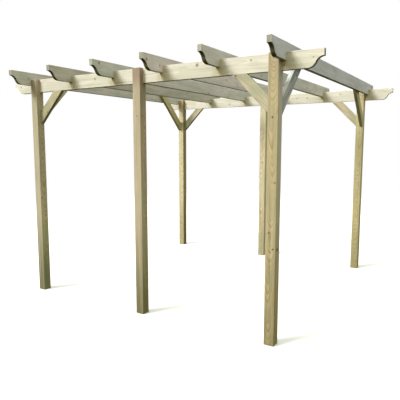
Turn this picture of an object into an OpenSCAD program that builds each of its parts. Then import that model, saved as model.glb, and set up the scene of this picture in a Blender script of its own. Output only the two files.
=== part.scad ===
// Open timber pergola: two rows of three notched posts, a plank beam along each
// row, six plank rafters halved over the beams, and knee braces at the corners.
// X runs along the beams, Y runs from the front row to the rear row, Z is up.
// The origin is on the ground at the centre of the footprint. Sizes are in mm.

/* [Posts] */
// Width and depth of the square posts
post_w = 90; // [80:1:150]
// Height of the posts, from the ground to the tip of the tongue
post_h = 2400; // [1900:10:3000]

/* [Layout] */
// Length of a row, over the outer faces of its corner posts
row_len = 2950; // [2400:10:4500]
// Depth of the frame, over the outer faces of the two rows
frame_d = 2980; // [2000:10:4500]
// How far the middle posts stand to the right of the centre of their row
mid_shift = 40; // [-150:5:150]

/* [Beams and rafters] */
// Height of the beams and rafters
plank_h = 140; // [110:1:220]
// Thickness of the beams and rafters
plank_t = 40; // [30:1:55]
// Overhang of the beams past the corner posts
beam_over = 340; // [200:5:600]
// Overhang of the rafters past the two rows
rafter_over = 245; // [180:5:600]
// How far the rafters drop over the beams
lap_h = 64; // [20:1:90]
// Play on each side of a plank in its halving notch
lap_play = 0.5; // [0.2:0.1:2]

/* [Scrolled ends] */
// Height of the square nose left at the end of a plank
nose_h = 56; // [30:1:90]
// Length of the S-shaped cut under the nose
scroll_len = 130; // [90:1:170]

/* [Braces] */
// Width of the braces, seen from the side
brace_h = 95; // [60:1:120]
// Thickness of the braces
brace_t = 40; // [30:1:45]
// How far below the beams the braces meet the posts
brace_drop = 345; // [250:5:600]
// How far the rafter braces stop below the top edge of the rafter
brace_stop = 20; // [5:1:60]

/* [Hidden] */
$fn = 64;
cut = 1;
rafter_count = 6;
// Height of the cut under the nose. Its two equal arcs run a little into each
// other and into the underside of the plank, so they meet at clean edges.
scroll_h = plank_h - nose_h;
scroll_ease = 0.1;
scroll_r = (scroll_len * scroll_len + scroll_h * scroll_h) / (4 * scroll_h) + scroll_ease;
// The tongue fills what the beam leaves of the post
tongue_t = post_w - plank_t;
beam_z = post_h - plank_h;
beam_len = row_len + 2 * beam_over;
rafter_z = post_h - lap_h;
rafter_len = frame_d + 2 * rafter_over;
rafter_pitch = (row_len + plank_t) / (rafter_count - 1);
front_y = -frame_d / 2;
rear_y = frame_d / 2 - post_w;
left_x = -row_len / 2;
mid_x = mid_shift - post_w / 2;
right_x = row_len / 2 - post_w;
brace_z = beam_z - brace_drop;
// Height of a brace's cut end, at 45 degrees
brace_end = brace_h * sqrt(2);
rafter_leg = rafter_z + plank_h - brace_stop - brace_z;

// Left face of a rafter, counted from 0 at the left end
function rafter_x(i) = -row_len / 2 - plank_t + i * rafter_pitch;

// Square post with a shoulder for the beam behind its tongue
module post(x, y) {
    color("#c6b98f")
    translate([x, y, 0])
    difference() {
        cube([post_w, post_w, post_h]);
        translate([-cut, tongue_t, beam_z])
        cube([post_w + 2 * cut, post_w, plank_h + cut]);
    }
}

// Waste under the nose at the left end of a plank: a hollow, then a round
module scroll_waste() {
    translate([0, scroll_h - scroll_r])
    circle(r = scroll_r);
    difference() {
        translate([scroll_len / 2, -cut])
        square([scroll_len / 2, scroll_h / 2 + cut]);
        translate([scroll_len, scroll_r - scroll_ease])
        circle(r = scroll_r);
    }
}

// Side view of a plank with both ends scrolled, centred on its length
module scrolled_plank(length) {
    difference() {
        translate([-length / 2, 0])
        square([length, plank_h]);
        translate([-length / 2, 0])
        scroll_waste();
        mirror([1, 0])
        translate([-length / 2, 0])
        scroll_waste();
    }
}

// Beam on the shoulders of one row, notched from above for the rafters
module beam(row_y) {
    color("#e6dcc2")
    translate([0, row_y + post_w, beam_z])
    rotate([90, 0, 0])
    linear_extrude(height = plank_t)
    difference() {
        scrolled_plank(beam_len);
        for (i = [0 : rafter_count - 1])
            translate([rafter_x(i) - lap_play, plank_h - lap_h / 2])
            square([plank_t + 2 * lap_play, lap_h]);
    }
}

// Rafter, notched from below over the two beams
module rafter(i) {
    color("#a9a892")
    translate([rafter_x(i), 0, rafter_z])
    rotate([90, 0, 90])
    linear_extrude(height = plank_t)
    difference() {
        scrolled_plank(rafter_len);
        for (row_y = [front_y, rear_y])
            translate([row_y + tongue_t - lap_play, -lap_h / 2])
            square([plank_t + 2 * lap_play, lap_h]);
    }
}

// Side view of a 45 degree brace, cut upright at the post and level at the top
module brace_side(leg) {
    polygon([[0, 0], [leg, leg], [leg - brace_end, leg], [0, brace_end]]);
}

// Brace from a left corner post to the underside of the beam
module beam_brace(row_y) {
    color("#cfc79a")
    translate([left_x + post_w, row_y + tongue_t + brace_t, brace_z])
    rotate([90, 0, 0])
    linear_extrude(height = brace_t)
    brace_side(brace_drop);
}

// Brace from a front left corner post, up beside the inner face of the rafter
module rafter_brace() {
    color("#b4ad86")
    translate([left_x, front_y + post_w, brace_z])
    rotate([90, 0, 90])
    linear_extrude(height = brace_t)
    brace_side(rafter_leg);
}

module post_front_left() {
    post(left_x, front_y);
}

module post_front_middle() {
    post(mid_x, front_y);
}

module post_front_right() {
    post(right_x, front_y);
}

module post_rear_left() {
    post(left_x, rear_y);
}

module post_rear_middle() {
    post(mid_x, rear_y);
}

module post_rear_right() {
    post(right_x, rear_y);
}

module beam_front() {
    beam(front_y);
}

module beam_rear() {
    beam(rear_y);
}

module rafter_1() {
    rafter(0);
}

module rafter_2() {
    rafter(1);
}

module rafter_3() {
    rafter(2);
}

module rafter_4() {
    rafter(3);
}

module rafter_5() {
    rafter(4);
}

module rafter_6() {
    rafter(5);
}

module beam_brace_front_left() {
    beam_brace(front_y);
}

module beam_brace_front_right() {
    mirror([1, 0, 0])
    beam_brace(front_y);
}

module beam_brace_rear_left() {
    beam_brace(rear_y);
}

module beam_brace_rear_right() {
    mirror([1, 0, 0])
    beam_brace(rear_y);
}

module rafter_brace_front_left() {
    rafter_brace();
}

module rafter_brace_front_right() {
    mirror([1, 0, 0])
    rafter_brace();
}

module rafter_brace_rear_left() {
    mirror([0, 1, 0])
    rafter_brace();
}

module rafter_brace_rear_right() {
    mirror([1, 0, 0])
    mirror([0, 1, 0])
    rafter_brace();
}

post_front_left();
post_front_middle();
post_front_right();
post_rear_left();
post_rear_middle();
post_rear_right();
beam_front();
beam_rear();
rafter_1();
rafter_2();
rafter_3();
rafter_4();
rafter_5();
rafter_6();
beam_brace_front_left();
beam_brace_front_right();
beam_brace_rear_left();
beam_brace_rear_right();
rafter_brace_front_left();
rafter_brace_front_right();
rafter_brace_rear_left();
rafter_brace_rear_right();
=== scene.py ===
import math
import random

import bmesh
import bpy
import numpy as np
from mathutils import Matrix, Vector


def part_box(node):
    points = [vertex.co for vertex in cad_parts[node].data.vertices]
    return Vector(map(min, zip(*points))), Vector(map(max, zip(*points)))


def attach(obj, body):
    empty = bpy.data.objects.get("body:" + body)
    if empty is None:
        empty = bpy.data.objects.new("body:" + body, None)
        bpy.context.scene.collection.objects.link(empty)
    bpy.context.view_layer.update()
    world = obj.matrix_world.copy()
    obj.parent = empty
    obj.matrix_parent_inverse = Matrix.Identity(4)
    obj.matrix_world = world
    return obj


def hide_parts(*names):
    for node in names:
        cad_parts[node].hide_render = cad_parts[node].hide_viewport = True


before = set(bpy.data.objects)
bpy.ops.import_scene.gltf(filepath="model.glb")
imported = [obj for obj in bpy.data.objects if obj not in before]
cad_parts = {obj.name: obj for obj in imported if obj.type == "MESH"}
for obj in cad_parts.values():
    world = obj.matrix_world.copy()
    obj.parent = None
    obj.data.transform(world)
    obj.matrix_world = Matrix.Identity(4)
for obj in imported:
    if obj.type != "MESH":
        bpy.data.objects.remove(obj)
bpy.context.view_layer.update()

scene = bpy.context.scene
scene.view_settings.view_transform = "Standard"


# ---------------------------------------------------------------- camera
# A standing eye, a little right of the front right post, looking left along
# the front row and slightly down.
LOOK_DOWN = 6.89
LOOK_LEFT = 32.06

camera = bpy.data.objects.new("camera", bpy.data.cameras.new("camera"))
scene.collection.objects.link(camera)
scene.camera = camera
camera.location = (2.8922, -4.9074, 1.6795)
camera.rotation_euler = (math.radians(90 - LOOK_DOWN), 0, math.radians(LOOK_LEFT))
camera.data.sensor_width = 36
camera.data.lens = 41.11
camera.data.clip_end = 200


# ---------------------------------------------------------------- studio
# A plain pale floor that runs out into a white background, one large soft key
# from the front left, and an even soft sky. The floor sends no light back up,
# so the undersides of the timbers stay as dark as they are over grass.
FLOOR_HALF = 60
FLOOR_DROP = 0.001
FADE_FROM = 4.0
FADE_TO = 12.0
WHITE = (1, 1, 1, 1)
KEY_HEADING = (0.66, 1.0, -1.1)
MIX = {"data_type": "RGBA"}
TINT = {"data_type": "RGBA", "blend_type": "MULTIPLY"}
SMOOTH = {"interpolation_type": "SMOOTHSTEP"}
LENGTH = {"operation": "LENGTH"}


def hex_colour(code):
    """sRGB hex to the linear RGBA that Blender's sockets take."""
    parts = [int(code[i : i + 2], 16) / 255 for i in (1, 3, 5)]
    linear = [c / 12.92 if c <= 0.04045 else ((c + 0.055) / 1.055) ** 2.4 for c in parts]
    return (*linear, 1.0)


def add(tree, kind, settings={}, inputs={}, out=None):
    """Adds one node with its settings and its inputs, which are values or other
    nodes' outputs, and returns its first live output, or the one named."""
    made = tree.nodes.new(kind)
    for key, value in settings.items():
        setattr(made, key, value)
    live = [s for s in made.inputs if s.enabled]
    for key, value in inputs.items():
        socket = live[key] if isinstance(key, int) else made.inputs[key]
        if isinstance(value, bpy.types.NodeSocket):
            tree.links.new(value, socket)
        else:
            socket.default_value = value
    return made.outputs[out] if out else next(s for s in made.outputs if s.enabled)


def lay_stops(ramp, stops):
    """Gives a new colour ramp its stops, each (place, colour), in rising order."""
    ramp.elements[0].position, ramp.elements[0].color = stops[0]
    ramp.elements[1].position, ramp.elements[1].color = stops[-1]
    for place, colour in stops[1:-1]:
        ramp.elements.new(place).color = colour


floor_mesh = bpy.data.meshes.new("floor")
corners = ((-1, -1), (1, -1), (1, 1), (-1, 1))
floor_points = [(x * FLOOR_HALF, y * FLOOR_HALF, -FLOOR_DROP) for x, y in corners]
floor_mesh.from_pydata(floor_points, [], [(0, 1, 2, 3)])
floor = bpy.data.objects.new("floor", floor_mesh)
scene.collection.objects.link(floor)
floor.visible_diffuse = False
floor.visible_glossy = False

# Matt off-white near the object, which takes its shadow, fading to plain white
pale_floor = bpy.data.materials.new("pale_studio_floor")
pale_floor.use_nodes = True
tree = pale_floor.node_tree
tree.nodes.clear()
spot = add(tree, "ShaderNodeTexCoord", out="Object")
distance = add(tree, "ShaderNodeVectorMath", LENGTH, {0: spot}, out="Value")
far = add(tree, "ShaderNodeMapRange", SMOOTH, {0: distance, 1: FADE_FROM, 2: FADE_TO})
near_floor = add(tree, "ShaderNodeBsdfDiffuse", {}, {"Color": hex_colour("#EDECE9")})
far_floor = add(tree, "ShaderNodeEmission", {}, {"Color": WHITE, "Strength": 1.0})
blend = add(tree, "ShaderNodeMixShader", {}, {0: far, 1: near_floor, 2: far_floor})
floor_out = tree.nodes.new("ShaderNodeOutputMaterial")
tree.links.new(blend, floor_out.inputs["Surface"])
floor_mesh.materials.append(pale_floor)

# The sky's light by height, from 0 straight down to 1 straight up: next to none
# from below, dim and yellowish at the horizon, brightest half way up
sky_levels = (
    (0.49, (0.055, 0.053, 0.012, 1)),
    (0.53, (0.42, 0.40, 0.28, 1)),
    (0.63, (0.86, 0.86, 0.74, 1)),
    (0.76, (1.14, 1.16, 1.10, 1)),
    (1.0, (0.95, 1.0, 1.06, 1)),
)
# It is warmer in front of the object than behind it
WARM_FRONT = (1.26, 1.17, 0.90, 1)
COOL_BACK = (0.95, 1.0, 1.08, 1)

world = bpy.data.worlds.new("soft_sky")
scene.world = world
world.use_nodes = True
tree = world.node_tree
tree.nodes.clear()
heading = add(tree, "ShaderNodeTexCoord", out="Generated")
height = add(tree, "ShaderNodeSeparateXYZ", {}, {0: heading}, out="Z")
height = add(tree, "ShaderNodeMapRange", {}, {0: height, 1: -1.0, 2: 1.0})
sky = add(tree, "ShaderNodeValToRGB", {}, {0: height})
lay_stops(sky.node.color_ramp, sky_levels)
depth_way = add(tree, "ShaderNodeSeparateXYZ", {}, {0: heading}, out="Y")
behind = add(tree, "ShaderNodeMapRange", SMOOTH, {0: depth_way, 1: -0.8, 2: 0.6})
warmth = add(tree, "ShaderNodeMix", MIX, {0: behind, 1: WARM_FRONT, 2: COOL_BACK})
sky = add(tree, "ShaderNodeMix", TINT, {0: 1.0, 1: sky, 2: warmth})
seen = add(tree, "ShaderNodeLightPath", out="Is Camera Ray")
backdrop = add(tree, "ShaderNodeMix", MIX, {0: seen, 1: sky, 2: WHITE})
background = add(tree, "ShaderNodeBackground", {}, {"Color": backdrop, "Strength": 1.0})
world_out = tree.nodes.new("ShaderNodeOutputWorld")
tree.links.new(background, world_out.inputs["Surface"])

key_data = bpy.data.lights.new("key_softbox", "SUN")
key_data.angle = math.radians(20)
key_data.energy = 3.7
key_data.color = (1.0, 0.99, 0.98)
key = bpy.data.objects.new("key_softbox", key_data)
scene.collection.objects.link(key)
key.rotation_euler = Vector(KEY_HEADING).to_track_quat("-Z", "Y").to_euler()


# ---------------------------------------------------------------- posts
# Six 90 mm square posts of pressure-treated pine, planed all round, with their long
# arrises eased. The back of each head is sawn away to a shoulder that carries the
# beam, and the tongue that is left stands up in front of it.
POST_ARRIS = 0.004
PLANK_ARRIS = 0.003
KNOTS_EACH = 6
KNOTS_PER_METRE = 1.2
KNOT_GAP = 0.12
# A knot so far off that none of it shows
NO_KNOT = (99, 0, 0, 0.01)
# Heights where the soil splashed up, and the preserver run down, are full and gone
SPLASH_FULL = 0.25
SPLASH_GONE = 1.35
RUN_GONE = 2.30
RUN_FULL = 2.46
# The ways of the object: along its rows, from the front row to the rear one, and up
RIGHT = Vector((1, 0, 0))
BACK = Vector((0, 1, 0))
UP = Vector((0, 0, 1))
ADD = {"operation": "ADD"}
SUBTRACT = {"operation": "SUBTRACT"}
MULTIPLY = {"operation": "MULTIPLY"}
MULTIPLY_ADD = {"operation": "MULTIPLY_ADD"}
LINE_NOISE = {"noise_dimensions": "1D"}
FLAT_NOISE = {"noise_dimensions": "2D"}


def plain_mesh(rough):
    """The mesh of an object with its modifiers applied; the object is removed."""
    graph = bpy.context.evaluated_depsgraph_get()
    finished = bpy.data.meshes.new_from_object(
        rough.evaluated_get(graph), preserve_all_data_layers=True, depsgraph=graph
    )
    bpy.data.objects.remove(rough)
    return finished


def note(mesh, key, values):
    """Leaves a named vector on each point of a mesh, for a material or a modifier."""
    layer = mesh.attributes.new(key, "FLOAT_VECTOR", "POINT")
    layer.data.foreach_set("vector", np.asarray(values, np.float32).ravel())


def saw_timber(name, outline, thickness, origin, along, up, arris=PLANK_ARRIS):
    """Makes a timber from its side view. Each outline point is (along, up, cut),
    where cut says how the edge to the next point was made: "face" planed and
    eased, "end" or "scroll" sawn across the grain and eased, "notch" left sharp."""
    side = along.cross(up)
    made = bmesh.new()
    near = [made.verts.new(origin + along * p[0] + up * p[1]) for p in outline]
    far = [made.verts.new(v.co + side * thickness) for v in near]
    count = len(outline)
    made.faces.new(near[::-1])
    made.faces.new(far)
    eased = []
    for i in range(count):
        j = (i + 1) % count
        cut, before = outline[i][2], outline[i - 1][2]
        face = made.faces.new((near[i], near[j], far[j], far[i]))
        face.material_index = {"end": 1, "scroll": 2}.get(cut, 0)
        if cut != "notch":
            eased += [made.edges.get((near[i], near[j])), made.edges.get((far[i], far[j]))]
        if "notch" not in (cut, before):
            # The edge across the thickness is eased only at a true corner
            here, last, following = (Vector(outline[k][:2]) for k in (i, i - 1, j))
            turn = (here - last).angle_signed(following - here)
            if turn < -math.radians(30):
                eased.append(made.edges.get((near[i], far[i])))
    bmesh.ops.recalc_face_normals(made, faces=made.faces)
    # Marks the eased arrises, which are painted a little paler as a highlight
    lit_and_burnished_arris = made.faces.layers.float.new("arris")
    result = bmesh.ops.bevel(
        made,
        geom=eased,
        offset=arris,
        offset_type="OFFSET",
        segments=3,
        profile=0.5,
        affect="EDGES",
        clamp_overlap=True,
    )
    for face in result["faces"]:
        face[lit_and_burnished_arris] = 1.0
    for edge in made.edges:
        edge.smooth = len(edge.link_faces) == 2 and edge.calc_face_angle(0) < math.radians(35)
    for face in made.faces:
        face.smooth = True
    mesh = bpy.data.meshes.new(name)
    made.to_mesh(mesh)
    made.free()
    rough_cut = bpy.data.objects.new(name + "_rough", mesh)
    scene.collection.objects.link(rough_cut)
    rough_cut.modifiers.new("flat_faces", "WEIGHTED_NORMAL").keep_sharp = True
    finished = plain_mesh(rough_cut)
    finished.name = name
    timber = bpy.data.objects.new(name, finished)
    scene.collection.objects.link(timber)
    return timber


def grow(timber, along, up, pith, tone=(1, 1, 1), knots=(), radius=(0.005, 0.009), weathering_and_painted_light=()):
    """Says how the timber lay in its log. "log" is each point's place across and
    along the log, from the pith; pith is (side, up) from the timber's middle. Each
    knot is a branch (along, side, up, radius) that runs from the pith through the
    point given from the timber's middle, and "knot_N" is how far a point is from it.
    weathering_and_painted_light lists faces, each by the way it looks, with the tone that it is drawn in,
    which stands for weathering on some faces and is painted light and shade on others, or with two tones,
    one at each end of the timber."""
    mesh = timber.data
    chance = random.Random(timber.name)
    along, up = along.normalized(), up.normalized()
    side = along.cross(up)
    points = np.empty(len(mesh.vertices) * 3, np.float32)
    mesh.vertices.foreach_get("co", points)
    points = points.reshape(-1, 3).astype(float)
    middle = (points.min(0) + points.max(0)) / 2
    own = (points - middle) @ np.array([side, up, along]).T
    length = np.ptp(own[:, 2])
    half = [np.ptp(own[:, 0]) / 2, np.ptp(own[:, 1]) / 2]
    branches = list(knots)
    wanted = min(KNOTS_EACH, max(len(branches), round(KNOTS_PER_METRE * length)))
    while len(branches) < wanted:
        where = chance.uniform(-0.46, 0.46) * length
        place = (where, half[0] * chance.uniform(-1, 1), half[1] * chance.uniform(-0.9, 0.9))
        if all(abs(where - b[0]) > KNOT_GAP * min(1, length) for b in branches):
            branches.append((*place, chance.uniform(*radius)))
    branches += [NO_KNOT] * (KNOTS_EACH - len(branches))
    across = own[:, :2] - np.array(pith)
    # Each timber comes from its own stretch of a long log
    stretch = chance.uniform(0, 50)
    note(mesh, "log", np.column_stack([across, own[:, 2] + stretch]))
    tones = np.tile(np.array(tone, float), (len(points), 1))
    # Faces drawn lighter or darker: weathering, and painted light and shade
    for way, *tints in weathering_and_painted_light:
        reach = points @ np.array(way.normalized())
        face = reach > reach.max() - 0.0001
        share = own[face, 2:] / length + 0.5
        tones[face] *= (1 - share) * np.array(tints[0]) + share * np.array(tints[-1])
    note(mesh, "tone", tones)
    for n, (where, s, u, r) in enumerate(branches):
        ray = np.array([s, u]) - np.array(pith)
        ray /= np.linalg.norm(ray)
        off = across[:, 0] * ray[1] - across[:, 1] * ray[0]
        off_in_radii = (off / r, (own[:, 2] - where) / r, np.zeros(len(points)))
        note(mesh, f"knot_{n + 1}", np.column_stack(off_in_radii))


def nearest_knot(tree, log):
    """How far the nearest knot is, in knot radii, made ragged."""
    near = None
    for n in range(KNOTS_EACH):
        ray = add(tree, "ShaderNodeAttribute", {"attribute_name": f"knot_{n + 1}"}, out="Vector")
        far = add(tree, "ShaderNodeVectorMath", LENGTH, {0: ray}, out="Value")
        if near is None:
            near = far
        else:
            near = add(tree, "ShaderNodeMath", {"operation": "MINIMUM"}, {0: near, 1: far})
    ragged = add(tree, "ShaderNodeTexNoise", {}, {"Vector": log, "Scale": 90.0, "Detail": 2.0})
    ragged = add(tree, "ShaderNodeMapRange", {}, {0: ragged, 1: 0.0, 2: 1.0, 3: -0.45, 4: 0.45})
    return add(tree, "ShaderNodeMath", ADD, {0: near, 1: ragged})


def yearly_rings(tree, log, near, year, slope):
    """Yearly rings round the pith, 0 where the wood is soft and 1 where it is hard.
    They wander by 10 mm and the saw crossed them at a slope, which makes the
    tongue-shaped figure on a flat face, and they bow out round each knot. A year's
    growth is drawn 5 to 7 mm wide, twice what it is, so that it shows."""
    slow = add(tree, "ShaderNodeVectorMath", MULTIPLY, {0: log, 1: (4.0, 4.0, 1.8)})
    slow = {"Vector": slow, "Scale": 1.0, "Detail": 1.5}
    wander = add(tree, "ShaderNodeTexNoise", {}, slow, out="Color")
    wander = add(tree, "ShaderNodeVectorMath", SUBTRACT, {0: wander, 1: (0.5, 0.5, 0.5)})
    wander = add(tree, "ShaderNodeVectorMath", MULTIPLY, {0: wander, 1: (0.036, 0.036, 0.0)})
    bent = add(tree, "ShaderNodeVectorMath", ADD, {0: log, 1: wander})
    bent = add(tree, "ShaderNodeVectorMath", MULTIPLY, {0: bent, 1: (1, 1, 0)})
    out_from_pith = add(tree, "ShaderNodeVectorMath", LENGTH, {0: bent}, out="Value")
    square = add(tree, "ShaderNodeMath", MULTIPLY, {0: near, 1: near})
    bow = add(tree, "ShaderNodeMath", MULTIPLY, {0: square, 1: -0.22})
    bow = add(tree, "ShaderNodeMath", {"operation": "EXPONENT"}, {0: bow})
    bowed = add(tree, "ShaderNodeMath", MULTIPLY_ADD, {0: bow, 1: 0.014, 2: out_from_pith})
    up_log = add(tree, "ShaderNodeSeparateXYZ", {}, {0: log}, out="Z")
    sloped = add(tree, "ShaderNodeMath", MULTIPLY_ADD, {0: up_log, 1: slope, 2: bowed})
    years = add(tree, "ShaderNodeMath", {"operation": "DIVIDE"}, {0: sloped, 1: year})
    uneven = {"W": years, "Scale": 0.45, "Detail": 1.0}
    uneven = add(tree, "ShaderNodeTexNoise", LINE_NOISE, uneven)
    years = add(tree, "ShaderNodeMath", MULTIPLY_ADD, {0: uneven, 1: 1.6, 2: years})
    season = add(tree, "ShaderNodeMath", {"operation": "FRACT"}, {0: years})
    ring = add(tree, "ShaderNodeValToRGB", {}, {0: season})
    seasons = ((0.0, 0.25), (0.10, 0.0), (0.5, 0.12), (0.86, 1.0), (0.94, 0.85), (1.0, 0.25))
    lay_stops(ring.node.color_ramp, [(place, (hard, hard, hard, 1)) for place, hard in seasons])
    return ring


def drying_checks(tree, log):
    """Drying checks: cracks 1 mm wide that point at the pith and run with the grain."""
    x, y, z = add(tree, "ShaderNodeSeparateXYZ", {}, {0: log}).node.outputs
    angle = add(tree, "ShaderNodeMath", {"operation": "ARCTAN2"}, {0: x, 1: y})
    round_log = add(tree, "ShaderNodeCombineXYZ", {}, {0: angle, 1: z})
    fan = add(tree, "ShaderNodeVectorMath", MULTIPLY, {0: round_log, 1: (8.0, 0.55, 0.0)})
    fan = {"Vector": fan, "Scale": 1.0, "Detail": 2.0}
    split = add(tree, "ShaderNodeTexNoise", FLAT_NOISE, fan)
    split = add(tree, "ShaderNodeMath", SUBTRACT, {0: split, 1: 0.5})
    split = add(tree, "ShaderNodeMath", {"operation": "ABSOLUTE"}, {0: split})
    split = add(tree, "ShaderNodeMapRange", SMOOTH, {0: split, 1: 0.016, 2: 0.002})
    some = add(tree, "ShaderNodeVectorMath", MULTIPLY, {0: round_log, 1: (3.0, 1.1, 0.0)})
    some = {"Vector": some, "Scale": 1.0, "Detail": 0.0}
    some = add(tree, "ShaderNodeTexNoise", FLAT_NOISE, some)
    some = add(tree, "ShaderNodeMapRange", SMOOTH, {0: some, 1: 0.56, 2: 0.66})
    return add(tree, "ShaderNodeMath", MULTIPLY, {0: split, 1: some})


def creep_and_shade_from_notches(tree, colour, bands, strength):
    """The preserver brushed into the notches has spread some 40 mm along the grain; its yellow-green is also
    painted shade, where the rafters shade the beam beside each notch.
    """
    place = add(tree, "ShaderNodeAttribute", {"attribute_name": "notches"}, out="Vector")
    number, pitch = add(tree, "ShaderNodeSeparateXYZ", {}, {0: place}).node.outputs[:2]
    nearest = add(tree, "ShaderNodeMath", {"operation": "PINGPONG"}, {0: number, 1: 0.5})
    creep_and_shade = add(tree, "ShaderNodeMath", MULTIPLY, {0: nearest, 1: pitch})
    creep_and_shade = add(tree, "ShaderNodeMath", MULTIPLY_ADD, {0: bands, 1: 0.03, 2: creep_and_shade})
    creep_and_shade = {0: creep_and_shade, 1: 0.095, 2: 0.03, 3: 0.0, 4: strength}
    creep_and_shade = add(tree, "ShaderNodeMapRange", SMOOTH, creep_and_shade)
    # Yellow-green near each notch, partly preserver and partly painted shade
    return add(tree, "ShaderNodeMix", MIX, {0: creep_and_shade, 1: colour, 2: hex_colour("#B3A878")})


def soil_and_preserver(tree, colour, bands, strength):
    """Rain splash and soil up from the ground, and brown preserver brushed on the
    head, which has run down a little way; "stains" is (head, foot) of each post."""
    stains = add(tree, "ShaderNodeAttribute", {"attribute_name": "stains"}, out="Vector")
    head, foot = add(tree, "ShaderNodeSeparateXYZ", {}, {0: stains}).node.outputs[:2]
    place = add(tree, "ShaderNodeTexCoord", out="Object")
    level = add(tree, "ShaderNodeSeparateXYZ", {}, {0: place}, out="Z")
    wet = add(tree, "ShaderNodeMath", MULTIPLY_ADD, {0: bands, 1: 0.5, 2: level})
    wet = {0: wet, 1: SPLASH_GONE, 2: SPLASH_FULL, 3: 0.0, 4: strength}
    wet = add(tree, "ShaderNodeMapRange", SMOOTH, wet)
    wet = add(tree, "ShaderNodeMath", MULTIPLY, {0: wet, 1: foot})
    colour = add(tree, "ShaderNodeMix", TINT, {0: wet, 1: colour, 2: (0.38, 0.40, 0.29, 1)})
    run = add(tree, "ShaderNodeMath", MULTIPLY_ADD, {0: bands, 1: 0.25, 2: level})
    run = add(tree, "ShaderNodeMapRange", SMOOTH, {0: run, 1: RUN_GONE, 2: RUN_FULL, 3: 0.0, 4: 0.8})
    run = add(tree, "ShaderNodeMath", MULTIPLY, {0: run, 1: head})
    return add(tree, "ShaderNodeMix", MIX, {0: run, 1: colour, 2: hex_colour("#8E7A62")})


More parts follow.
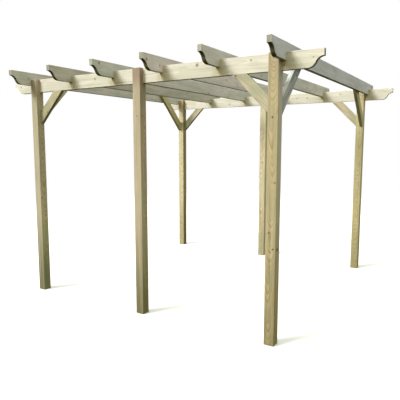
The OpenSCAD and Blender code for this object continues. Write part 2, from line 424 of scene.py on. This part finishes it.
def treated_pine(
    name, straw, late, cast, year=0.007, slope=0.02, figure=1.0, cross_cut=False, splash=0.0, notch_stain_and_shade=0.0
):
    """Pressure-treated pine. straw is the soft spring wood between the rings, late the
    hard summer wood of the rings, cast the green-grey that the treatment leaves. year
    is how wide a year's growth is, slope how far the rings drift in each metre, and
    figure how strongly rings, knots and checks show."""
    material = bpy.data.materials.new(name)
    material.use_nodes = True
    tree = material.node_tree
    shader = tree.nodes["Principled BSDF"]
    log = add(tree, "ShaderNodeAttribute", {"attribute_name": "log"}, out="Vector")
    near = nearest_knot(tree, log)
    ring = yearly_rings(tree, log, near, year, slope)
    check = drying_checks(tree, log)

    # Fibres, drawn 1 to 2 mm wide and some 100 mm long so that they show, then bands
    # some 25 mm wide and patches some 80 mm wide, which are what is seen of the grain
    # from a few metres away
    thread = add(tree, "ShaderNodeVectorMath", MULTIPLY, {0: log, 1: (650.0, 650.0, 9.0)})
    fibre = add(tree, "ShaderNodeTexNoise", {}, {"Vector": thread, "Scale": 1.0, "Detail": 2.0})
    band = add(tree, "ShaderNodeVectorMath", MULTIPLY, {0: log, 1: (42.0, 42.0, 1.3)})
    band = {"Vector": band, "Scale": 1.0, "Detail": 3.0, "Roughness": 0.6}
    bands = add(tree, "ShaderNodeTexNoise", {}, band)
    patch = add(tree, "ShaderNodeVectorMath", MULTIPLY, {0: log, 1: (13.0, 13.0, 4.5)})
    patches = add(tree, "ShaderNodeTexNoise", {}, {"Vector": patch, "Scale": 1.0, "Detail": 3.0})

    ringed = add(tree, "ShaderNodeMath", MULTIPLY, {0: ring, 1: 0.62 * figure})
    colour = add(tree, "ShaderNodeMix", MIX, {0: ringed, 1: hex_colour(straw), 2: hex_colour(late)})
    green = add(tree, "ShaderNodeMapRange", SMOOTH, {0: patches, 1: 0.36, 2: 0.64, 3: 0.0, 4: 0.9})
    colour = add(tree, "ShaderNodeMix", MIX, {0: green, 1: colour, 2: hex_colour(cast)})
    darkest, lightest = 1 - 0.11 * figure, 1 + 0.08 * figure
    shade = add(tree, "ShaderNodeMapRange", {}, {0: bands, 1: 0.3, 2: 0.7, 3: darkest, 4: lightest})
    colour = add(tree, "ShaderNodeMix", TINT, {0: 1.0, 1: colour, 2: shade})
    shade = add(tree, "ShaderNodeMapRange", {}, {0: fibre, 1: 0.25, 2: 0.75, 3: 0.93, 4: 1.05})
    colour = add(tree, "ShaderNodeMix", TINT, {0: 1.0, 1: colour, 2: shade})

    # Knots: grey-brown wood with a dark bark ring, and resin-stained wood round it
    resin = add(tree, "ShaderNodeMapRange", SMOOTH, {0: near, 1: 2.6, 2: 1.0, 3: 0.0, 4: 0.4})
    colour = add(tree, "ShaderNodeMix", MIX, {0: resin, 1: colour, 2: hex_colour("#9F8C66")})
    core = add(tree, "ShaderNodeMath", MULTIPLY, {0: near, 1: 0.5})
    core = add(tree, "ShaderNodeValToRGB", {}, {0: core})
    knot_rings = ((0.0, "#2A2320"), (0.18, "#463830"), (0.36, "#5F4E3C"), (0.5, "#382C20"))
    lay_stops(core.node.color_ramp, [(place, hex_colour(code)) for place, code in knot_rings])
    darkness = min(0.95, 0.15 + 0.65 * figure)
    inside = add(tree, "ShaderNodeMapRange", SMOOTH, {0: near, 1: 1.12, 2: 0.88, 3: 0.0, 4: darkness})
    colour = add(tree, "ShaderNodeMix", MIX, {0: inside, 1: colour, 2: core})

    cracked = add(tree, "ShaderNodeMath", MULTIPLY, {0: check, 1: 0.6 * figure})
    colour = add(tree, "ShaderNodeMix", MIX, {0: cracked, 1: colour, 2: hex_colour("#3B3020")})
    # Preserver and painted shade at the notches
    if notch_stain_and_shade:
        colour = creep_and_shade_from_notches(tree, colour, bands, notch_stain_and_shade)

    # The eased arrises are a little paler: burnished by the planer's cutter, and a painted highlight where
    # they catch the light
    lit_and_burnished_arris = add(tree, "ShaderNodeAttribute", {"attribute_name": "arris"}, out="Fac")
    lit_and_burnished_arris = add(tree, "ShaderNodeMath", MULTIPLY, {0: lit_and_burnished_arris, 1: 0.12})
    colour = add(tree, "ShaderNodeMix", MIX, {0: lit_and_burnished_arris, 1: colour, 2: hex_colour("#E9E2CC")})
    if splash:
        colour = soil_and_preserver(tree, colour, bands, splash)

    # The timber's own tone, which on some faces also carries painted light and shade
    tone = add(tree, "ShaderNodeAttribute", {"attribute_name": "tone"}, out="Vector")
    colour = add(tree, "ShaderNodeMix", TINT, {0: 1.0, 1: colour, 2: tone})
    tree.links.new(colour, shader.inputs["Base Color"])

    # Planed wood is dull, and its hard rings shine a little more than the soft wood
    # between them; a sawn end is duller still, and unevenly so, fibre by fibre
    if cross_cut:
        dull = add(tree, "ShaderNodeMapRange", {}, {0: fibre, 3: 0.8, 4: 0.95})
    else:
        dull = add(tree, "ShaderNodeMapRange", {}, {0: ring, 3: 0.74, 4: 0.6})
    tree.links.new(dull, shader.inputs["Roughness"])
    shader.inputs["IOR"].default_value = 1.5
    shader.inputs["Specular IOR Level"].default_value = 0.35

    # Relief in millimetres: rings 0.15 proud, fibres 0.12 (0.3 where sawn across),
    # knots 0.25 proud, and checks 1 deep
    fibre_relief = 0.3 if cross_cut else 0.12
    relief = add(tree, "ShaderNodeMath", MULTIPLY, {0: ring, 1: 0.15})
    relief = add(tree, "ShaderNodeMath", MULTIPLY_ADD, {0: fibre, 1: fibre_relief, 2: relief})
    relief = add(tree, "ShaderNodeMath", MULTIPLY_ADD, {0: inside, 1: 0.25, 2: relief})
    relief = add(tree, "ShaderNodeMath", MULTIPLY_ADD, {0: check, 1: -1.0, 2: relief})
    bump = {"Strength": 0.7, "Distance": 0.001, "Height": relief}
    bump = add(tree, "ShaderNodeBump", {}, bump, out="Normal")
    tree.links.new(bump, shader.inputs["Normal"])
    return material


# Straw-coloured planed faces with a green-grey cast, fine brown rings and dark knots,
# browner and dirtier towards the foot
post_finish = treated_pine(
    "planed_treated_pine_post", "#C2B793", "#96855A", "#ADA884",
    year=0.005, slope=-0.075, figure=1.25, splash=0.95,
)
# Sawn across, where the end grain has soaked up the preserver: darker, rough and matt
post_ends = treated_pine("sawn_treated_pine_post_end", "#A39A72", "#84754C", "#8C8C64", cross_cut=True)

# Each post's own colour; the rear left and middle posts are drawn much lighter and bluer, painted light for
# the light that the roof keeps from them
post_tones_and_painted_light = {
    "post_front_left": (0.93, 0.95, 1.16),
    "post_front_middle": (1.0, 0.98, 1.17),
    "post_front_right": (0.94, 0.90, 0.90),
    "post_rear_left": (1.30, 1.30, 1.45),
    "post_rear_middle": (1.42, 1.42, 1.64),
    "post_rear_right": (1.16, 1.14, 1.10),
}
# Painted light and shade on the right face of each post, which looks away from the key: how much lighter or
# darker it is drawn at its foot and at its head
right_face_painted_light = {
    "post_front_left": ((1.36, 1.42, 1.10), (1.08, 1.02, 0.96)),
    "post_front_middle": ((1.22, 1.24, 1.00), (0.98, 0.91, 0.85)),
    "post_front_right": ((1.12, 1.14, 0.86), (1.38, 1.50, 2.10)),
    "post_rear_left": ((0.60, 0.56, 0.36), (0.52, 0.50, 0.32)),
    "post_rear_middle": ((0.95, 0.95, 0.90), (0.95, 0.95, 0.90)),
    "post_rear_right": ((0.98, 0.98, 0.80), (0.98, 0.98, 0.80)),
}
# How strongly the head has taken the brown end-grain preserver, and the foot the soil
post_stains = {
    "post_front_left": (0.25, 0.90),
    "post_front_middle": (0.9, 1.0),
    "post_front_right": (0.15, 0.6),
    "post_rear_left": (0.9, 0.5),
    "post_rear_middle": (0.3, 0.35),
    "post_rear_right": (0.3, 0.5),
}
# Where the pith of the log lay, (left, back) of the post's middle: behind it the front
# face shows tongues, and beside it the front face is straight-grained
post_piths = {
    "post_front_left": (0.085, 0.012),
    "post_front_middle": (-0.080, 0.020),
    "post_front_right": (0.002, 0.048),
    "post_rear_left": (-0.007, 0.045),
    "post_rear_middle": (0.009, 0.050),
    "post_rear_right": (-0.004, 0.042),
}
# Knots that show on the front and right faces: (above, left, back, radius), in metres
# from the post's middle
post_knots = {
    "post_front_right": (
        (0.696, 0.0, -0.045, 0.008),
        (0.175, -0.029, -0.045, 0.006),
        (-0.237, 0.014, -0.045, 0.007),
        (-0.37, -0.024, -0.045, 0.007),
        (-0.38, -0.045, -0.004, 0.011),
    ),
}

for name, tone in post_tones_and_painted_light.items():
    low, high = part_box(name)
    row = "beam_front" if "front" in name else "beam_rear"
    beam_low, beam_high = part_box(row)
    tongue = beam_low.y - low.y
    shoulder = beam_low.z
    depth = high.y - low.y
    outline = [
        (0, 0, "end"),
        (depth, 0, "face"),
        (depth, shoulder, "notch"),
        (tongue, shoulder, "notch"),
        (tongue, high.z, "end"),
        (0, high.z, "face"),
    ]
    post = saw_timber(name + "_timber", outline, high.x - low.x, low, BACK, UP, POST_ARRIS)
    # The right face takes its painted light and shade
    weathering_and_painted_light = [(RIGHT, *right_face_painted_light[name])]
    grow(post, UP, BACK, post_piths[name], tone, post_knots.get(name, ()), (0.004, 0.007), weathering_and_painted_light)
    note(post.data, "stains", [(*post_stains[name], 0)] * len(post.data.vertices))
    for finish in (post_finish, post_ends):
        post.data.materials.append(finish)
    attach(post, "root")
    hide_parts(name)


# ---------------------------------------------------------------- beams
# Two 140 x 40 planks of the same pine on edge, one on each row's shoulders, notched
# from above for the rafters and scrolled at both ends: a square nose, a hollow and
# a round.
NOSE = 0.056
SCROLL = 0.130
SCROLL_STEPS = 14
NOTCH_PLAY = 0.0005
BEAM_PITH = (0.075, 0.02)
# The tops of the beams and rafters are drawn greyer and darker: painted shade that holds back the strong
# light from above
TOP_PAINTED_DARKER = (UP, (0.68, 0.67, 0.64))


def scroll_points(plank_height):
    """The cut under the nose at a plank's left end, from the nose to the underside."""
    drop = plank_height - NOSE
    radius = (SCROLL * SCROLL + drop * drop) / (4 * drop)
    sweep = math.asin(SCROLL / 2 / radius)
    turns = [sweep * i / SCROLL_STEPS for i in range(SCROLL_STEPS + 1)]
    arc = [(radius * math.sin(turn), radius * math.cos(turn)) for turn in turns]
    hollow = [(across, drop - radius + level, "scroll") for across, level in arc[:-1]]
    return hollow + [(SCROLL - across, radius - level, "scroll") for across, level in arc[:0:-1]]


def plank_outline(length, plank_height, notches, from_above):
    """Side view of a plank from (0, 0), scrolled at both ends; notches are (start,
    end, deep)."""
    left = scroll_points(plank_height)
    right = [(length - s, u, "scroll") for s, u, _ in reversed(left)]
    cuts_below = [] if from_above else notches
    cuts_above = notches if from_above else []
    points = left + [(SCROLL, 0, "face")]
    for start, end, deep in cuts_below:
        points += [(start, 0, "notch"), (start, deep, "notch"), (end, deep, "notch"), (end, 0, "face")]
    points += [(length - SCROLL, 0, "scroll")] + right[:-1]
    points += [(length, plank_height - NOSE, "end"), (length, plank_height, "face")]
    for start, end, deep in reversed(cuts_above):
        points += [
            (end, plank_height, "notch"),
            (end, plank_height - deep, "notch"),
            (start, plank_height - deep, "notch"),
            (start, plank_height, "face"),
        ]
    points += [(0, plank_height, "end")]
    return points


def count_notches(beam, first, pitch):
    """Leaves "notches" on a beam: a whole number at the middle of each notch, and
    the distance from one notch to the next."""
    note(beam.data, "notches", [((v.co.x - first) / pitch, pitch, 0) for v in beam.data.vertices])


# Planed faces, paler than the posts, with faint rings and yellow-green at the notches: preserver, and
# painted shade beside the rafters
beam_finish = treated_pine(
    "planed_treated_pine_beam", "#DEDCD3", "#C4B99D", "#CDCCBC", figure=0.8, notch_stain_and_shade=0.5
)
# The square noses, rough from the saw and greyed by rain
beam_ends = treated_pine("sawn_treated_pine_beam_end", "#969A94", "#7C7E70", "#868A7C", cross_cut=True)
# The bandsawn scrolls, which look down, drawn dark brown-green: painted shade
beam_scrolls_painted_shade = treated_pine(
    "bandsawn_treated_pine_beam_scroll", "#8F8A6C", "#6E6748", "#777753", cross_cut=True
)
rows = ("beam_front", "beam_rear")
rafters = [f"rafter_{n}" for n in range(1, 7)]
# Knots that show on the beams' front faces: (right, front, above, radius), in metres
# from the beam's middle
beam_knots = {
    "beam_front": (
        (-1.709, 0.02, 0.006, 0.007),
        (-0.540, 0.02, 0.014, 0.008),
        (0.690, 0.02, 0.042, 0.011),
        (1.211, 0.02, 0.035, 0.006),
        (1.501, 0.02, -0.026, 0.006),
        (1.732, 0.02, 0.008, 0.004),
    ),
    "beam_rear": ((1.155, 0.02, 0.026, 0.006), (0.541, 0.02, 0.005, 0.006), (-0.549, 0.02, -0.03, 0.007)),
}

for name in rows:
    low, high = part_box(name)
    notches = []
    for rafter in rafters:
        rafter_low, rafter_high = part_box(rafter)
        deep = (high.z - rafter_low.z) / 2
        notches.append((rafter_low.x - NOTCH_PLAY - low.x, rafter_high.x + NOTCH_PLAY - low.x, deep))
    outline = plank_outline(high.x - low.x, high.z - low.z, notches, True)
    corner = Vector((low.x, high.y, low.z))
    beam = saw_timber(name + "_timber", outline, high.y - low.y, corner, RIGHT, UP)
    knots = beam_knots[name]
    grow(beam, RIGHT, UP, BEAM_PITH, knots=knots, radius=(0.006, 0.010), weathering_and_painted_light=[TOP_PAINTED_DARKER])
    first, second = ((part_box(rafter)[0].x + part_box(rafter)[1].x) / 2 for rafter in rafters[:2])
    count_notches(beam, first, second - first)
    for finish in (beam_finish, beam_ends, beam_scrolls_painted_shade):
        beam.data.materials.append(finish)
    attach(beam, "root")
    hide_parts(name)


# ---------------------------------------------------------------- rafters
# Six 140 x 40 planks of the same pine on edge across the two beams, halved over them
# from below, with the same scroll at both ends as the beams. The two end ones run
# just outside the corner posts.

# Planed faces, a little greyer and greener than the beams
rafter_finish = treated_pine(
    "planed_treated_pine_rafter", "#D7D4CA", "#B8B099", "#C0C3B3", figure=0.8
)
# The square noses, rough from the saw, with the preserver's green in them
rafter_ends = treated_pine("sawn_treated_pine_rafter_end", "#ACAC97", "#8E8D72", "#9A9F85", cross_cut=True)
# The bandsawn scrolls, drawn as the darkest wood on the object, brown-green and matt: painted shade where
# they look down
rafter_scrolls_painted_shade = treated_pine(
    "bandsawn_treated_pine_rafter_scroll", "#7E7A5C", "#605A3C", "#666745", cross_cut=True
)
# Each rafter's own colour
rafter_tones = {
    "rafter_1": (0.95, 0.94, 0.95),
    "rafter_2": (0.82, 0.80, 0.77),
    "rafter_3": (0.98, 1.0, 1.03),
    "rafter_4": (1.14, 1.08, 1.16),
    "rafter_5": (1.0, 0.99, 1.03),
    "rafter_6": (1.03, 1.05, 1.28),
}
# How pale the sun has left the front end of each
front_ends = {
    "rafter_1": (1.0, 1.0, 0.95),
    "rafter_2": (1.10, 1.12, 1.35),
    "rafter_3": (1.16, 1.12, 1.18),
    "rafter_4": (0.80, 0.87, 0.80),
    "rafter_5": (1.20, 1.15, 1.40),
    "rafter_6": (0.84, 0.83, 0.78),
}
# Knots that show on the right faces near the front: (back, right, above, radius), in
# metres from the rafter's middle
rafter_knots = {
    "rafter_3": ((-1.645, 0.02, 0.042, 0.009),),
    "rafter_4": ((-1.678, 0.02, 0.016, 0.009),),
}

for name, tone in rafter_tones.items():
    low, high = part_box(name)
    notches = []
    for row in rows:
        beam_low, beam_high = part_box(row)
        deep = (beam_high.z - low.z) / 2
        notches.append((beam_low.y - NOTCH_PLAY - low.y, beam_high.y + NOTCH_PLAY - low.y, deep))
    outline = plank_outline(high.y - low.y, high.z - low.z, notches, False)
    rafter = saw_timber(name + "_timber", outline, high.x - low.x, low, BACK, UP)
    chance = random.Random(name)
    pith = (chance.choice((-1, 1)) * chance.uniform(0.06, 0.09), chance.uniform(-0.03, 0.03))
    weathering_and_painted_light = [TOP_PAINTED_DARKER, (-BACK, front_ends[name])]
    grow(rafter, BACK, UP, pith, tone, rafter_knots.get(name, ()), (0.005, 0.008), weathering_and_painted_light)
    for finish in (rafter_finish, rafter_ends, rafter_scrolls_painted_shade):
        rafter.data.materials.append(finish)
    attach(rafter, "root")
    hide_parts(name)


# ---------------------------------------------------------------- beam braces
# Four 95 x 40 knee braces of planed pine at 45 degrees in the plane of the beams, from
# the inner sides of the corner posts up to the beams' undersides, mitred at both ends.
BRACE_WIDE = 0.095
BRACE_PITH = (0.07, 0.01)
# Planed faces, warmer and greener than the planks, with livelier rings
brace_finish = treated_pine(
    "planed_treated_pine_brace", "#D6C9AE", "#A8996E", "#AEB18D", figure=1.1
)
# The mitred ends, rough from the saw and brown with preserver
brace_ends = treated_pine("sawn_treated_pine_brace_end", "#A8A078", "#857B50", "#8F8C64", cross_cut=True)


def brace_place(name):
    """Where a brace starts at its post, the level way out from the post, and the way
    across its thickness."""
    low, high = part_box(name)
    if name.startswith("beam_brace"):
        out = RIGHT if "left" in name else -RIGHT
    else:
        out = BACK if "front" in name else -BACK
    across = out.cross(UP)
    ways = out + across
    corner = Vector([high[i] if ways[i] < 0 else low[i] for i in range(3)])
    return corner, out, across


def knee_brace(name, tone, finish, weathering_and_painted_light=()):
    """Saws a brace to its box, with its post end upright and its top end level."""
    low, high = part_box(name)
    corner, out, across = brace_place(name)
    run, thickness = (abs((high - low).dot(way)) for way in (out, across))
    rise = high.z - low.z
    cut = BRACE_WIDE * math.sqrt(2)
    outline = [(0, 0, "face"), (run, rise, "end"), (run - cut, rise, "face"), (0, cut, "end")]
    brace = saw_timber(name + "_timber", outline, thickness, corner, out, UP)
    grow(brace, out + UP, UP - out, BRACE_PITH, tone, weathering_and_painted_light=weathering_and_painted_light)
    for material in (finish, brace_ends):
        brace.data.materials.append(material)
    return brace


# Each brace's own colour
beam_brace_tones = {
    "beam_brace_front_left": (0.86, 0.86, 0.86),
    "beam_brace_front_right": (0.82, 0.84, 0.90),
    "beam_brace_rear_left": (0.76, 0.77, 0.80),
    "beam_brace_rear_right": (0.94, 0.92, 0.94),
}
for name, tone in beam_brace_tones.items():
    brace = knee_brace(name, tone, brace_finish)
    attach(brace, "root")
    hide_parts(name)


# ---------------------------------------------------------------- rafter braces
# Four longer braces of the same section, from the corner posts' inner faces up beside
# the end rafters, flush with the posts' outer sides. The front right one was cut from
# paler, greyer pine, and its upper face, which looks up and forward, has painted light.
PALE_BRACE = "rafter_brace_front_right"
UPPER_FACE_PAINTED_LIGHT = (UP - BACK, (1.55, 1.48, 1.50))
# Planed faces, nearly white, with grey rings that stand out
pale_brace_finish = treated_pine(
    "planed_pale_treated_pine_brace", "#EAE4D6", "#A9A288", "#9CA295", figure=1.2
)
# Each brace's own colour
rafter_brace_tones = {
    "rafter_brace_front_left": (1.0, 1.0, 0.95),
    "rafter_brace_front_right": (0.74, 0.81, 0.92),
    "rafter_brace_rear_left": (0.94, 0.96, 0.72),
    "rafter_brace_rear_right": (1.0, 1.0, 0.95),
}
for name, tone in rafter_brace_tones.items():
    if name == PALE_BRACE:
        brace = knee_brace(name, tone, pale_brace_finish, [UPPER_FACE_PAINTED_LIGHT])
    else:
        brace = knee_brace(name, tone, brace_finish)
    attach(brace, "root")
    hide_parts(name)


# ---------------------------------------------------------------- screws
# Countersunk exterior screws with a bronze wax coat and a six-lobed recess,
# driven flush: one down through each halving joint, two through the beam into
# each post's tongue, and two at either end of every brace.
SCREW_HEAD = 0.009
AROUND = 36
TONGUE_SCREWS = ((-0.022, 0.035), (0.022, 0.060))
BRACE_SCREW_INSET = 0.045
RAFTER_SCREW_DROP = 0.055
STAGGER = 0.010

# A head of diameter 1, as rings from the shank up, over the rim and down the recess:
# each is (radius, how far its six lobes swell, level)
head_rings = (
    (0.5, 0, -0.06),
    (0.5, 0, 0.010),
    (0.47, 0, 0.024),
    (0.235, 0.035, 0.024),
    (0.225, 0.035, 0.004),
)
head_shape = bmesh.new()
recess_face = head_shape.faces.layers.bool.new("recess")
turns = [2 * math.pi * i / AROUND for i in range(AROUND)]
rings = []
for radius, lobes, level in head_rings:
    spans = [(turn, radius + lobes * math.cos(6 * turn)) for turn in turns]
    spots = [(math.cos(turn) * span, math.sin(turn) * span, level) for turn, span in spans]
    rings.append([head_shape.verts.new(spot) for spot in spots])
for inner, outer in zip(rings[1:], rings):
    for i in range(AROUND):
        j = (i + 1) % AROUND
        face = head_shape.faces.new((outer[i], outer[j], inner[j], inner[i]))
        face[recess_face] = inner is rings[-1]
well = head_shape.faces.new(rings[-1])
well[recess_face] = True
head_shape.faces.new(rings[0][::-1])
bmesh.ops.recalc_face_normals(head_shape, faces=head_shape.faces)
head_mesh = bpy.data.meshes.new("screw_head")
head_shape.to_mesh(head_mesh)
head_shape.free()
screw_head = bpy.data.objects.new("screw_head", head_mesh)
scene.collection.objects.link(screw_head)

# Steel under a thin bronze-coloured wax: a soft metallic shine, scuffed by the driver
waxed_steel = bpy.data.materials.new("bronze_waxed_steel")
waxed_steel.use_nodes = True
tree = waxed_steel.node_tree
shader = tree.nodes["Principled BSDF"]
place = add(tree, "ShaderNodeTexCoord", out="Object")
scuffs = add(tree, "ShaderNodeTexNoise", {}, {"Vector": place, "Scale": 900.0, "Detail": 3.0})
bronzes = {0: scuffs, 1: hex_colour("#7D6B4C"), 2: hex_colour("#A8977A")}
tree.links.new(add(tree, "ShaderNodeMix", MIX, bronzes), shader.inputs["Base Color"])
dull = add(tree, "ShaderNodeMapRange", {}, {0: scuffs, 3: 0.32, 4: 0.55})
tree.links.new(dull, shader.inputs["Roughness"])
shader.inputs["Metallic"].default_value = 0.8

# A dark, matt spot in the shiny head: painted shade for the depth of the recess
recess_painted_shade = bpy.data.materials.new("dirt_in_screw_recess")
recess_painted_shade.use_nodes = True
tree = recess_painted_shade.node_tree
shader = tree.nodes["Principled BSDF"]
place = add(tree, "ShaderNodeTexCoord", out="Object")
specks = add(tree, "ShaderNodeTexNoise", {}, {"Vector": place, "Scale": 1500.0})
recess_shades = {0: specks, 1: hex_colour("#1E1A13"), 2: hex_colour("#3A3224")}
tree.links.new(add(tree, "ShaderNodeMix", MIX, recess_shades), shader.inputs["Base Color"])
shader.inputs["Roughness"].default_value = 0.85

# Where each screw goes in, and which way its head faces
driven = []
for rafter in rafters:
    low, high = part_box(rafter)
    for row in rows:
        beam_low, beam_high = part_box(row)
        driven.append((((low.x + high.x) / 2, (beam_low.y + beam_high.y) / 2, high.z), UP))
for name in post_tones_and_painted_light:
    low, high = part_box(name)
    beam_low, beam_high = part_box("beam_front" if "front" in name else "beam_rear")
    middle = (low.x + high.x) / 2
    for side, level in TONGUE_SCREWS:
        driven.append(((middle + side, beam_high.y, beam_low.z + level), BACK))
for name in (*beam_brace_tones, *rafter_brace_tones):
    low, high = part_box(name)
    corner, out, across = brace_place(name)
    foot = corner + across * (abs((high - low).dot(across)) / 2)
    spread = Vector([abs(part) for part in across])
    slope, underside = (out + UP).normalized(), (out - UP).normalized()
    reach = (high.z - low.z) * math.sqrt(2)
    for stagger in (-STAGGER, STAGGER):
        aside = spread * stagger
        driven.append((foot + slope * (BRACE_SCREW_INSET + stagger) + aside, underside))
        if name in beam_brace_tones:
            # Up through the brace's underside into the beam
            driven.append((foot + slope * (reach - BRACE_SCREW_INSET + stagger) + aside, underside))
        else:
            # Outwards through the brace's inner side into the rafter
            inner_side, inward = (low.x, -RIGHT) if low.x > 0 else (high.x, RIGHT)
            level = high.z - RAFTER_SCREW_DROP + 2 * stagger
            away = level - low.z - BRACE_WIDE / 2 * math.sqrt(2)
            driven.append(((inner_side, foot.y + out.y * away, level), inward))

points_mesh = bpy.data.meshes.new("screw_points")
points_mesh.from_pydata([tuple(point) for point, _ in driven], [], [])
note(points_mesh, "way", [tuple(way) for _, way in driven])
screw_points = bpy.data.objects.new("screw_points", points_mesh)
scene.collection.objects.link(screw_points)

screw_tree = bpy.data.node_groups.new("drive_screws", "GeometryNodeTree")
asked = (
    ("Points", "NodeSocketGeometry"),
    ("Screw head", "NodeSocketObject"),
    ("Head diameter", "NodeSocketFloat"),
    ("Twist seed", "NodeSocketInt"),
)
sockets = {}
for label, kind in asked:
    socket = screw_tree.interface.new_socket(label, in_out="INPUT", socket_type=kind)
    sockets[label] = socket.identifier
screw_tree.interface.new_socket("Screws", in_out="OUTPUT", socket_type="NodeSocketGeometry")
given = screw_tree.nodes.new("NodeGroupInput").outputs
head_in = add(screw_tree, "GeometryNodeObjectInfo", {}, {"Object": given["Screw head"]}, out="Geometry")
vectors = {"data_type": "FLOAT_VECTOR"}
way = add(screw_tree, "GeometryNodeInputNamedAttribute", vectors, {"Name": "way"}, out="Attribute")
twist = add(screw_tree, "FunctionNodeRandomValue", {"data_type": "FLOAT"}, {"Seed": given["Twist seed"]})
twist.node.inputs[3].default_value = 2 * math.pi
spin = add(screw_tree, "FunctionNodeAxisAngleToRotation", {}, {"Axis": (0, 0, 1), "Angle": twist})
stand = add(screw_tree, "FunctionNodeAlignRotationToVector", {"axis": "Z"}, {"Vector": way})
local = {"rotation_space": "LOCAL"}
turned = add(screw_tree, "FunctionNodeRotateRotation", local, {"Rotation": stand, "Rotate By": spin})
placing = {
    "Points": given["Points"],
    "Instance": head_in,
    "Rotation": turned,
    "Scale": given["Head diameter"],
}
placed = add(screw_tree, "GeometryNodeInstanceOnPoints", {}, placing)
solid = add(screw_tree, "GeometryNodeRealizeInstances", {}, {"Geometry": placed})
yes_or_no = {"data_type": "BOOLEAN"}
# The recess faces take the painted shade
recessed = add(screw_tree, "GeometryNodeInputNamedAttribute", yes_or_no, {"Name": "recess"}, out="Attribute")
waxed = add(screw_tree, "GeometryNodeSetMaterial", {}, {"Geometry": solid, "Material": waxed_steel})
recess_shading = {"Geometry": waxed, "Selection": recessed, "Material": recess_painted_shade}
recess_shaded = add(screw_tree, "GeometryNodeSetMaterial", {}, recess_shading)
taken = screw_tree.nodes.new("NodeGroupOutput")
screw_tree.links.new(recess_shaded, taken.inputs["Screws"])

drive = screw_points.modifiers.new("drive_screws", "NODES")
drive.node_group = screw_tree
drive[sockets["Screw head"]] = screw_head
drive[sockets["Head diameter"]] = SCREW_HEAD
drive[sockets["Twist seed"]] = 7
screws = bpy.data.objects.new("brace_and_joint_screws", plain_mesh(screw_points))
scene.collection.objects.link(screws)
bpy.data.objects.remove(screw_head)
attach(screws, "root")
